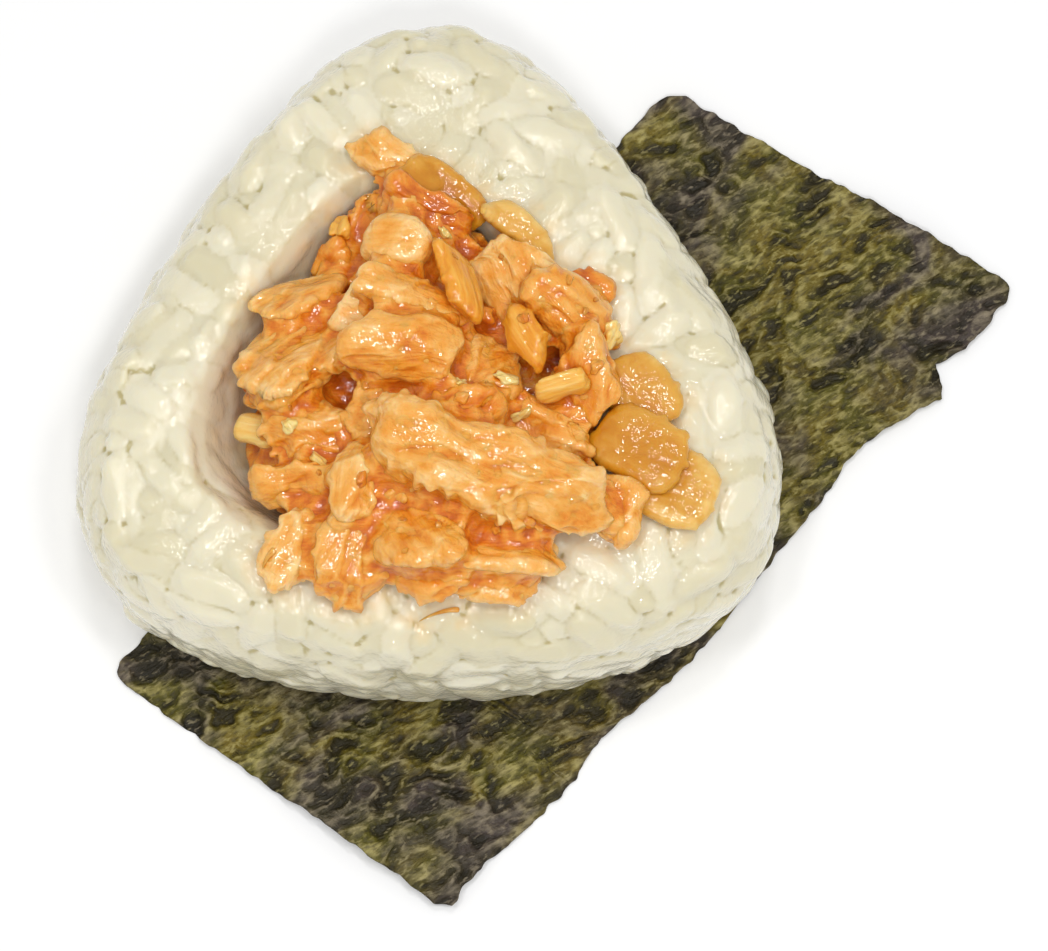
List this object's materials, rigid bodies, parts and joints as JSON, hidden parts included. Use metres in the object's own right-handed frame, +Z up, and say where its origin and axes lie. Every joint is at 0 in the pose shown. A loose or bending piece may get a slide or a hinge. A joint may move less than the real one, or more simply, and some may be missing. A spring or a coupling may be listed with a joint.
{
  "type": "onigiri rice ball",
  "caption": "Rounded triangular rice ball, open on top with a heap of orange sauced flakes, onion and ginger, lying on a torn strip of nori.",
  "frame": {"origin": "middle of the rice ball's outline, on the plane that the rice and the nori rest on", "axes": "+Z up out of the filling, +Y to the rice ball's rounded tip, +X to the right when the tip points away"},
  "size_m": [0.1079, 0.0995, 0.0377],
  "materials": {
    "rice": "moist cooked rice, soft gloss",
    "nori": "roasted seaweed, dull with a faint sheen",
    "sauced_bed": "wet dark orange sauce over fine shreds",
    "flaked_meat": "wet flaked meat in orange sauce",
    "onion": "translucent golden cooked onion",
    "ginger": "moist pale yellow ginger sliver",
    "skin": "dark brown sauced edge"
  },
  "bodies": {
    "root": {"rice": "rice", "nori": "nori", "filling_bed": "sauced_bed", "flake_tail": "flaked_meat", "flake_shoulder": "flaked_meat", "onion_top": "onion", "flake_dark_top": "flaked_meat", "onion_crescent": "onion", "flake_skin_left": "skin", "flake_skin_top": "skin", "flake_edge_right": "flaked_meat", "onion_upper_right": "onion", "onion_lower_right": "onion", "onion_middle_right": "onion", "chunk_pink_dome": "flaked_meat", "flake_right_upper": "flaked_meat", "flake_right_lower": "flaked_meat", "flake_orange_mass": "flaked_meat", "ginger_left": "ginger", "chunk_lumpy_upper": "flaked_meat", "chunk_lumpy_lower": "flaked_meat", "flake_tip_left": "flaked_meat", "flake_bottom_left": "flaked_meat", "flake_bottom_low": "flaked_meat", "flake_bottom_edge": "flaked_meat", "flake_bottom_right": "flaked_meat", "flake_bottom_mid": "flaked_meat", "flake_left_low": "flaked_meat", "flake_left": "flaked_meat", "flake_upper_left": "flaked_meat", "flake_gold": "flaked_meat", "nub_round": "flaked_meat", "flake_mid_left": "flaked_meat", "chunk_crumbed": "flaked_meat", "flake_brown_mid": "flaked_meat", "chunk_pink_block": "flaked_meat", "flake_long": "flaked_meat", "ginger_upper": "ginger", "ginger_right": "ginger", "ginger_small": "ginger", "chunk_slab": "flaked_meat", "flake_wing": "flaked_meat", "flake_finger": "flaked_meat", "nub_lower_right": "flaked_meat", "chunk_long": "flaked_meat"}
  },
  "joints": []
}
